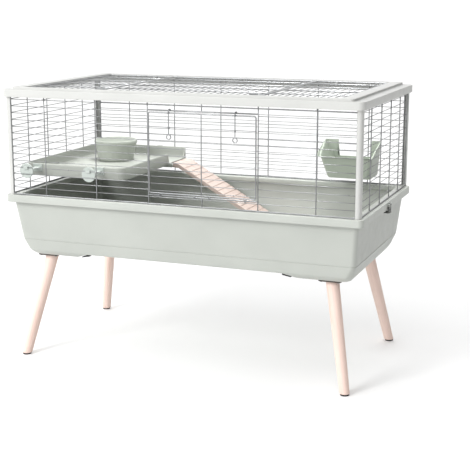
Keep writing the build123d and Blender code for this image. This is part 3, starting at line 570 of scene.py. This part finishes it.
front = Shape()
frame_loop(front, -FRONT_X, FRONT_X, LOW, HIGH, lambda a, b: (a, -FRONT_Y, b), EDGE_R)
for x in FRONT_POSTS:
    if x == DOOR_POST:
        front.tube([(x, -FRONT_Y, LOW), (x, -FRONT_Y, DOORWAY_Z[0])], THICK_R)
        front.tube([(x, -FRONT_Y, DOORWAY_Z[1]), (x, -FRONT_Y, HIGH)], THICK_R)
    else:
        front.tube([(x, -FRONT_Y, LOW), (x, -FRONT_Y, HIGH)], THICK_R)
for z in DOORWAY_Z:
    front.tube([(DOORWAY_X[0], -FRONT_Y, z), (DOORWAY_X[1], -FRONT_Y, z)], EDGE_R, 12)
for z in ROWS:
    runs = ((-FRONT_X, FRONT_X),)
    if DOORWAY_Z[0] < z < DOORWAY_Z[1]:
        runs = ((-FRONT_X, DOORWAY_X[0]), (DOORWAY_X[1], FRONT_X))
    for x0, x1 in runs:
        front.tube([(x0, -FRONT_WIRE_Y, z), (x1, -FRONT_WIRE_Y, z)], THIN_R, 8)
piece("mesh_front", front.verts, front.faces, WIRE, "cage", "front_panel", smooth=60)

back = Shape()
frame_loop(back, -FRONT_X, FRONT_X, LOW, HIGH, lambda a, b: (a, FRONT_Y, b), EDGE_R)
for x in FRONT_POSTS:
    back.tube([(x, FRONT_Y, LOW), (x, FRONT_Y, HIGH)], THICK_R)
for z in ROWS:
    back.tube([(-FRONT_X, FRONT_WIRE_Y, z), (FRONT_X, FRONT_WIRE_Y, z)], THIN_R, 8)
piece("mesh_back", back.verts, back.faces, WIRE, "cage", "back_panel", smooth=60)

for name, sx in (("left", -1), ("right", 1)):
    side = Shape()
    frame_loop(side, -SIDE_Y, SIDE_Y, LOW, HIGH, lambda a, b: (sx * SIDE_X, a, b), EDGE_R)
    for y in SIDE_POSTS:
        side.tube([(sx * SIDE_X, y, LOW), (sx * SIDE_X, y, HIGH)], THICK_R)
    row_x = sx * (SIDE_X - SETBACK)
    for z in ROWS:
        side.tube([(row_x, -SIDE_Y, z), (row_x, SIDE_Y, z)], THIN_R, 8)
    piece(f"mesh_{name}", side.verts, side.faces, WIRE, "cage", f"{name}_panel", smooth=60)

THIN_Z = ROOF_Z - SETBACK
roof = Shape()
frame_loop(roof, -ROOF_X, ROOF_X, -ROOF_Y, ROOF_Y, lambda a, b: (a, b, ROOF_Z), EDGE_R)
for sx in (-1, 1):
    roof.tube([(sx * ROOF_DOOR_GAP, -ROOF_Y, ROOF_Z), (sx * ROOF_DOOR_GAP, ROOF_Y, ROOF_Z)], THICK_R)
    for y in SIDE_POSTS:
        roof.tube([(sx * ROOF_DOOR_GAP, y, ROOF_Z), (sx * ROOF_X, y, ROOF_Z)], THICK_R)
    for i in range(13, 24):
        roof.tube([(sx * 20 * i, -ROOF_Y, THIN_Z), (sx * 20 * i, ROOF_Y, THIN_Z)], THIN_R, 8)
piece("mesh_roof", roof.verts, roof.faces, WIRE, "cage", "roof_panel", smooth=60)

# ---- front door and its latches --------------------------------------------------------------
DOOR_Y, DOOR_L, DOOR_R, DOOR_LOW, DOOR_TOP = -284.3, -77, 242, 535, 762
LATCH_Y = -288.0
door = Shape()
frame_loop(door, DOOR_L, DOOR_R, DOOR_LOW, DOOR_TOP, lambda a, b: (a, DOOR_Y, b), EDGE_R)
door.tube([(DOOR_POST, DOOR_Y, DOOR_LOW), (DOOR_POST, DOOR_Y, DOOR_TOP)], THICK_R)
for z in ROWS:
    if DOOR_LOW < z < DOOR_TOP - 5:
        door.tube([(DOOR_L, DOOR_Y + 0.3, z), (DOOR_R, DOOR_Y + 0.3, z)], THIN_R, 8)


def coil(shape, centre, radius, wire, turns=1.0, along="x", pitch=3.2, start=0.0, sides=8):
    """Wire wound round a rod that lies along X or stands along Z."""
    path = []
    steps = int(20 * turns) + 1
    for k in range(steps):
        a = start + 2 * pi * turns * k / (steps - 1)
        shift = pitch * (k / (steps - 1) - 0.5) * turns
        if along == "x":
            path.append((centre[0] + shift, centre[1] + radius * cos(a), centre[2] + radius * sin(a)))
        else:
            path.append((centre[0] + radius * cos(a), centre[1] + radius * sin(a), centre[2] + shift))
    shape.tube(path, wire, sides)


DOOR_HINGES_X = (-45, 60, 105, 210)
for x in DOOR_HINGES_X:
    coil(door, (x, -FRONT_Y, DOORWAY_Z[0]), 3.1, 0.95, 2.0, "x", 3.4, pi / 2)
    for dx in (-3.4, 3.4):
        door.tube([(x + dx, -280, 531.1), (x + dx, -282.4, 532.4), (x + dx, -283.9, 534.6)], 0.95, 8)
LATCHES = {"left": -14, "right": 183}
for x in LATCHES.values():
    for z in (720, 762):
        coil(door, (x, LATCH_Y, z), 2.45, 0.8, 2.0, "z", 1.9, pi / 2)
piece("mesh_door", door.verts, door.faces, WIRE, "front_door", "front_door", smooth=60)

for name, x in LATCHES.items():
    latch = Shape()
    path = [(x, LATCH_Y, z) for z in (701.5, 720, 745, 766)]
    bend = [radians(90 * k / 5) for k in range(6)]
    path += [(x, LATCH_Y + 3.0 * (1 - cos(a)), 768.7 + 3.0 * sin(a)) for a in bend]
    path += [(x, -277.0 + 2.0 * sin(a), 769.7 + 2.0 * cos(a)) for a in bend]
    path.append((x, -275.0, 767.2))
    latch.tube(path, 1.45, 10)
    around = [2 * pi * k / 28 for k in range(28)]
    loop = [(x + 6.5 * sin(a), LATCH_Y, 695.2 + 6.3 * cos(a)) for a in around]
    latch.tube(loop, 1.45, 10, closed=True)
    body = f"front_latch_{name}"
    piece(f"wire_latch_{name}", latch.verts, latch.faces, WIRE, body, body, smooth=60)

# ---- roof door and its latches ---------------------------------------------------------------
roof_door = Shape()
frame_loop(
    roof_door, -ROOF_DOOR_X, ROOF_DOOR_X, -ROOF_DOOR_Y, ROOF_DOOR_Y, lambda a, b: (a, b, ROOF_Z), EDGE_R
)
for y in SIDE_POSTS:
    roof_door.tube([(-ROOF_DOOR_X, y, ROOF_Z), (ROOF_DOOR_X, y, ROOF_Z)], THICK_R)
for i in range(-11, 12):
    roof_door.tube([(20 * i, -ROOF_DOOR_Y, THIN_Z), (20 * i, ROOF_DOOR_Y, THIN_Z)], THIN_R, 8)
ROOF_HINGES_X = (-230, -10, 10, 230)
for x in ROOF_HINGES_X:
    coil(roof_door, (x, ROOF_Y, ROOF_Z), 3.1, 0.95, 2.0, "x", 3.0, pi)
    for dx in (-3.0, 3.0):
        roof_door.tube([(x + dx, 263.9, 815), (x + dx, 262.0, 815.4), (x + dx, 260.5, 815.8)], 0.95, 8)
piece("mesh_roof_door", roof_door.verts, roof_door.faces, WIRE, "roof_door", "roof_door", smooth=60)

snap_plate = soften([
    (-262.8, 817.6), (-262.8, 819.0), (-270.8, 819.0), (-270.8, 813.6), (-269.4, 813.6), (-269.4, 817.6),
], 0.5, 2)
snap_lip = soften([(-270.8, 818.0), (-269.4, 818.0), (-269.4, 822.9), (-270.8, 822.9)], 0.5, 3)
for name, x in (("left", -230), ("right", 230)):
    snap = Shape()
    for profile in (snap_plate, snap_lip):
        snap.rings([[(x + dx, y, z) for y, z in profile] for dx in (-13, 13)], cap_first=True, cap_last=True)
    snap.block((x - 4, x + 4), (-263.6, -259.6), (817.4, 818.9), 0.4)
    coil(snap, (x, -ROOF_DOOR_Y, ROOF_Z), 3.0, 0.8, 2.0, "x", 3.0, pi / 2)
    piece(f"snap_{name}", snap.verts, snap.faces, WIRE, f"roof_latch_{name}", f"roof_latch_{name}")


# ---- platform --------------------------------------------------------------------------------
TRAY_LOW_CORNER, TRAY_HIGH_CORNER = (-526.0, -208.0), (-195.0, 270.0)
TRAY_CENTRE = tuple((low + high) / 2 for low, high in zip(TRAY_LOW_CORNER, TRAY_HIGH_CORNER))
TRAY_HALF = tuple((high - low) / 2 for low, high in zip(TRAY_LOW_CORNER, TRAY_HIGH_CORNER))
GATE_LOW, GATE_HIGH, GATE_TOP = 117.0, 233.0, 554.0


def gate_drop(x, y, z):
    """Lowers the tray's right wall where the ramp meets it."""
    if x < TRAY_HIGH_CORNER[0] - 8 or z <= GATE_TOP:
        return z
    open_here = smoothstep(GATE_LOW - 9, GATE_LOW, y) * (1 - smoothstep(GATE_HIGH, GATE_HIGH + 9, y))
    return z - (z - GATE_TOP) * open_here


def tray_ring(inset, z, radius=26.0):
    ring = rounded(TRAY_HALF[0] - inset, TRAY_HALF[1] - inset, radius - inset, z, 10, (20, 64), TRAY_CENTRE)
    return [(x, y, gate_drop(x, y, height)) for x, y, height in ring]


def drawn_in(ring, shrink):
    """The ring drawn in towards the middle of the tray."""
    mid_x, mid_y = TRAY_CENTRE
    return [(mid_x + (x - mid_x) * shrink, mid_y + (y - mid_y) * shrink, z) for x, y, z in ring]


tray = Shape()
outer = [
    (6.0, 547.0), (2.2, 547.6), (0.6, 549.2), (0.0, 551.8), (0.0, 566.0), (0.0, 580.6), (0.4, 583.6),
    (1.2, 584.8), (1.8, 585.0),
]
inner = [(2.4, 584.8), (3.0, 583.4), (3.2, 570.0), (3.6, 556.5), (5.0, 552.8), (8.0, 551.2), (12.0, 551.0)]
rings = [tray_ring(inset, z) for inset, z in outer + inner]
floor_rings = [drawn_in(rings[-1], shrink) for shrink in (0.8, 0.5, 0.2, 0.02)]
tray.rings(rings + floor_rings, cap_last=True)
under = [tray_ring(6.0, 547.0)]
under += [drawn_in(under[0], shrink) for shrink in (0.7, 0.4, 0.02)]
tray.rings(list(reversed(under)), cap_first=True)
lug = soften([
    (-215.0, 541.0), (-185.0, 541.0), (-182.0, 544.0), (-182.0, 550.0), (-185.0, 553.0), (-197.5, 553.0),
    (-197.5, 547.5), (-215.0, 547.5),
], 1.6, 3)
for y in (115.5, 234.5):
    tray.rings([[(x, yy, z) for x, z in lug] for yy in (y - 3, y + 3)], cap_first=True, cap_last=True)


def wire_hook(shape, x, wall_y, wire_y, wire_z):
    """Strap over a cage wire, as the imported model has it."""
    side = 1 if wire_y > 0 else -1
    over = wire_z + THIN_R + 0.2
    lip = wire_y + side * (THIN_R + 0.4)
    end = lip + side * 2.0
    outline = soften([
        (wall_y, over), (wall_y, over + 2), (end, over + 2), (end, over - 6), (lip, over - 6), (lip, over),
    ], 0.9, 3)
    shape.rings([[(x + dx, y, z) for y, z in outline] for dx in (-7, 7)], cap_first=True, cap_last=True)


for x in (-460, -300):
    wire_hook(tray, x, 269, FRONT_WIRE_Y, 582)
piece("tray", tray.verts, tray.faces, TRAY_PLASTIC, "platform", "platform")

for name, x in (("left", -481), ("right", -275)):
    arm = Shape()
    arm.block((x - 9, x + 9), (-272, -208), (569, 575), 1.2)
    arm.block((x - 16, x + 16), (-211, -208), (560, 584), 1.0)
    wire_hook(arm, x, -273.7, -FRONT_WIRE_Y, 582)
    disc = []
    for radius, y in ((21.2, -275.7), (22.0, -274.8), (22.0, -271.6), (21.2, -270.7)):
        around = [2 * pi * k / 48 for k in range(48)]
        disc.append([(x + radius * cos(a), y, 572 + radius * sin(a)) for a in around])
    arm.rings(disc, cap_first=True, cap_last=True)
    node = f"platform_arm_{name}"
    piece(f"clip_head_{name}", arm.verts, arm.faces, HEAD_PLASTIC, "platform", node)

# ---- ramp ------------------------------------------------------------------------------------
SLOPE = radians(30.0)
HEAD = (-165.0, 553.0)
PIN = (-188.0, 547.0)
RAMP_T = 12.0
FLOOR_Z = 327.2
RAMP_Y0, RAMP_Y1 = 120.0, 230.0
reach = (HEAD[1] - FLOOR_Z) / tan(SLOPE)
drop = RAMP_T / cos(SLOPE)
GROOVE_FIRST, GROOVE_STEP = 26.0, 22.0
GROOVE_SHAPE = ((-2.0, 0.0), (-1.3, 1.3), (0.0, 1.95), (1.3, 1.3), (2.0, 0.0))   # along the board, depth
top_line = []
groove = GROOVE_FIRST
while groove < reach / cos(SLOPE) - 20:
    for offset, depth in GROOVE_SHAPE:
        along = groove + offset
        top_line.append((
            HEAD[0] + along * cos(SLOPE) - depth * sin(SLOPE),
            HEAD[1] - along * sin(SLOPE) - depth * cos(SLOPE),
        ))
    groove += GROOVE_STEP
foot_x = HEAD[0] + (HEAD[1] - drop - FLOOR_Z) / tan(SLOPE)
outline = [(PIN[0] + 6 * cos(radians(a)), PIN[1] + 6 * sin(radians(a))) for a in range(270, 89, -15)]
outline += [(HEAD[0] - 1.5, HEAD[1]), (HEAD[0] + 1.3, HEAD[1] - 0.75)] + top_line
outline += [(HEAD[0] + reach - 1.0, FLOOR_Z + 0.8), (HEAD[0] + reach, FLOOR_Z), (foot_x, FLOOR_Z)]
outline += [(HEAD[0] + 0.6, HEAD[1] - drop), (HEAD[0] - 0.6, HEAD[1] - drop + 0.1)]
ramp_shape = Shape()
rows = []
for y, inset in ((RAMP_Y0, 0.7), (RAMP_Y0 + 0.7, 0.0), (RAMP_Y1 - 0.7, 0.0), (RAMP_Y1, 0.7)):
    row = []
    for i, (px, pz) in enumerate(outline):
        before, after = outline[i - 1], outline[(i + 1) % len(outline)]
        dx, dz = after[0] - before[0], after[1] - before[1]
        size = sqrt(dx * dx + dz * dz)
        row.append((px + dz / size * inset, y, pz - dx / size * inset))
    rows.append(row)
ramp_shape.rings(rows, cap_first=True, cap_last=True)
place = Matrix.Translation(Vector((HEAD[0], 175, HEAD[1])) * MM) @ Matrix.Rotation(SLOPE, 4, "Y")
piece(
    "wood_ramp", ramp_shape.verts, ramp_shape.faces, RAMP_WOOD, "ramp", "ramp",
    matrix=place, smooth=30,
)

# ---- bowl ------------------------------------------------------------------------------------
BOWL = (-396.0, 142.0)
BOWL_PROFILE = (         # radius, height: under, up the outside, over the rim and down inside
    (0.3, 551.2), (50.0, 551.2), (54.6, 551.6), (56.2, 553.2), (57.4, 558.0), (66.4, 602.0), (67.6, 606.0),
    (69.0, 607.4), (69.7, 609.6), (69.7, 615.6), (69.0, 617.4), (67.6, 618.0), (66.2, 617.4), (65.4, 615.4),
    (52.6, 564.0), (49.0, 558.0), (43.0, 555.2), (0.3, 555.0),
)
BOWL_SIDES = 96
bowl = Shape()
rings = []
for radius, z in BOWL_PROFILE:
    around = [2 * pi * k / BOWL_SIDES for k in range(BOWL_SIDES)]
    rings.append([(BOWL[0] + radius * cos(a), BOWL[1] + radius * sin(a), z) for a in around])
bowl.rings(rings, cap_first=True, cap_last=True)
piece("feed_bowl", bowl.verts, bowl.faces, BOWL_MAT, "bowl", "bowl")

# ---- hay rack --------------------------------------------------------------------------------
RACK_LOW, RACK_TOP, RACK_LIP = 530.0, 636.0, 596.0
RACK_FOOT_X, RACK_X = (312, 448), (277, 456)
RACK_FOOT_FRONT, RACK_FRONT, RACK_BACK = 168, 150, 274
RACK_GAP = (318.0, 424.0, 585.0)


def rack_ring(z, inset):
    """Section of the rack, which widens from its foot to its top."""
    share = (z - RACK_LOW) / (RACK_TOP - RACK_LOW)
    x0 = RACK_FOOT_X[0] + (RACK_X[0] - RACK_FOOT_X[0]) * share + inset
    x1 = RACK_FOOT_X[1] + (RACK_X[1] - RACK_FOOT_X[1]) * share - inset
    y0 = RACK_FOOT_FRONT + (RACK_FRONT - RACK_FOOT_FRONT) * share + inset
    y1 = RACK_BACK - inset
    centre = ((x0 + x1) / 2, (y0 + y1) / 2)
    return rounded((x1 - x0) / 2, (y1 - y0) / 2, 14 - inset, z, 8, (28, 14), centre)


def rack_cut(ring, z):
    """Slants the side walls down towards the front lip and opens the top of the back wall."""
    out = []
    for x, y, _ in ring:
        limit = RACK_LIP + (RACK_TOP - RACK_LIP) * max(0.0, min(1.0, (y - 158) / 106))
        if y > 270 and RACK_GAP[0] < x < RACK_GAP[1]:
            limit = RACK_GAP[2]
        out.append((x, y, min(z, limit)))
    return out


rack_shape = Shape()
levels = [535, 548, 562, 575, 585, 596, 604, 612, 620, 628, 636]
outside = [rack_ring(530, 5.0), rack_ring(530.4, 2.0)]
outside += [rack_cut(rack_ring(z, 0.0), z) for z in levels]
inside = [rack_cut(rack_ring(z, 3.0), z) for z in reversed(levels[1:])]
inside += [rack_ring(536, 4.0), rack_ring(533, 8.0)]
rack_shape.rings(outside + inside, cap_first=True, cap_last=True)
for x in (304, 438):
    wire_hook(rack_shape, x, 273, FRONT_WIRE_Y, 622)
piece("rack", rack_shape.verts, rack_shape.faces, RACK, "hay_rack", "hay_rack")

# ---- CAD nodes that stay as they are ---------------------------------------------------------
KEPT_NODES = {
    "leg_studs": SCREW, "bracket_screws": SCREW, "clip_pins": SCREW, "ramp_pin": SCREW,
    # the edge pads take the dark glide colour: they stand for the dark marks under the ends of the raised
    # floor
    "foot_glides": GLIDE, "edge_pads": GLIDE,
}
for corner, sx, sy in CORNERS:
    KEPT_NODES[f"bracket_{corner}"] = BRACKET
for node, material in KEPT_NODES.items():
    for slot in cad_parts[node].material_slots:
        slot.material = material

# ---- floor, light and camera -----------------------------------------------------------------
floor_mesh = bpy.data.meshes.new("studio_floor")
FLOOR = 30.0             # half width of the studio floor, in metres like the rest of this section
floor_corners = [(-FLOOR, -FLOOR, 0), (FLOOR, -FLOOR, 0), (FLOOR, FLOOR, 0), (-FLOOR, FLOOR, 0)]
floor_mesh.from_pydata(floor_corners, [], [(0, 1, 2, 3)])
studio_floor = bpy.data.objects.new("studio_floor", floor_mesh)
bpy.context.scene.collection.objects.link(studio_floor)
floor_material, floor_tree, floor_shader, floor_at = new_material("studio_floor")
floor_tones = ((0.0, (0.90, 0.90, 0.90)), (1.0, (0.93, 0.93, 0.93)))
floor_colour = ramp(floor_tree, noise(floor_tree, floor_at, 3.0), floor_tones)
floor_tree.links.new(floor_colour, floor_shader.inputs["Base Color"])
floor_shader.inputs["Roughness"].default_value = 0.7
floor_mesh.materials.append(floor_material)

world = bpy.data.worlds.new("studio")
bpy.context.scene.world = world
world.use_nodes = True
sky = world.node_tree
sky.nodes["Background"].inputs["Color"].default_value = (1.0, 1.0, 1.0, 1.0)
sky_coords = sky.nodes.new("ShaderNodeTexCoord")
sky_axes = sky.nodes.new("ShaderNodeSeparateXYZ")
sky.links.new(sky_coords.outputs["Generated"], sky_axes.inputs["Vector"])
# the studio is bright on the left and dimmer on the right
SKY_LEFT, SKY_RIGHT, SKY_SEEN = 1.6, 0.25, 1.2
sky_strength = span(sky, sky_axes.outputs["X"], -0.1, 0.7, SKY_LEFT, SKY_RIGHT)
# seen directly, it is an even white backdrop
ray = sky.nodes.new("ShaderNodeLightPath")
backdrop = sky.nodes.new("ShaderNodeMapRange")
backdrop.inputs["To Max"].default_value = SKY_SEEN
sky.links.new(ray.outputs["Is Camera Ray"], backdrop.inputs["Value"])
sky.links.new(sky_strength, backdrop.inputs["To Min"])
sky.links.new(backdrop.outputs["Result"], sky.nodes["Background"].inputs["Strength"])


def area_light(name, place, target, size, power):
    data = bpy.data.lights.new(name, "AREA")
    data.shape = "DISK"
    data.size = size
    data.energy = power
    lamp = bpy.data.objects.new(name, data)
    bpy.context.scene.collection.objects.link(lamp)
    lamp.location = place
    lamp.rotation_mode = "QUATERNION"
    lamp.rotation_quaternion = (Vector(target) - Vector(place)).to_track_quat("-Z", "Y")
    return lamp


area_light("key", (-1.7, -3.5, 2.6), (0, 0, 0.5), 1.6, 100)
top_lamp = area_light("top", (0.3, 0.1, 3.4), (0.15, 0, 0.3), 1.2, 175)
# the top lamp lights the inside of the cage: it leaves out the floor, which would bounce too much
# light back up, and the top rail, which lies too near to it
unlit = bpy.data.collections.new("not_lit_by_top")
for obj in (studio_floor, top_rail):
    unlit.objects.link(obj)
for member in unlit.collection_objects:
    member.light_linking.link_state = "EXCLUDE"
top_lamp.light_linking.receiver_collection = unlit

camera_data = bpy.data.cameras.new("camera")
camera_data.sensor_width = 36.0
camera_data.lens = 85.88
camera_data.shift_x = 0.0089
camera_data.shift_y = -0.0007
camera_data.clip_end = 100.0
camera = bpy.data.objects.new("camera", camera_data)
bpy.context.scene.collection.objects.link(camera)
camera.location = (1.2586, -3.1169, 1.1006)
camera.rotation_euler = (radians(77.57), 0.0, radians(21.03))
bpy.context.scene.camera = camera
bpy.context.scene.view_settings.view_transform = "Standard"
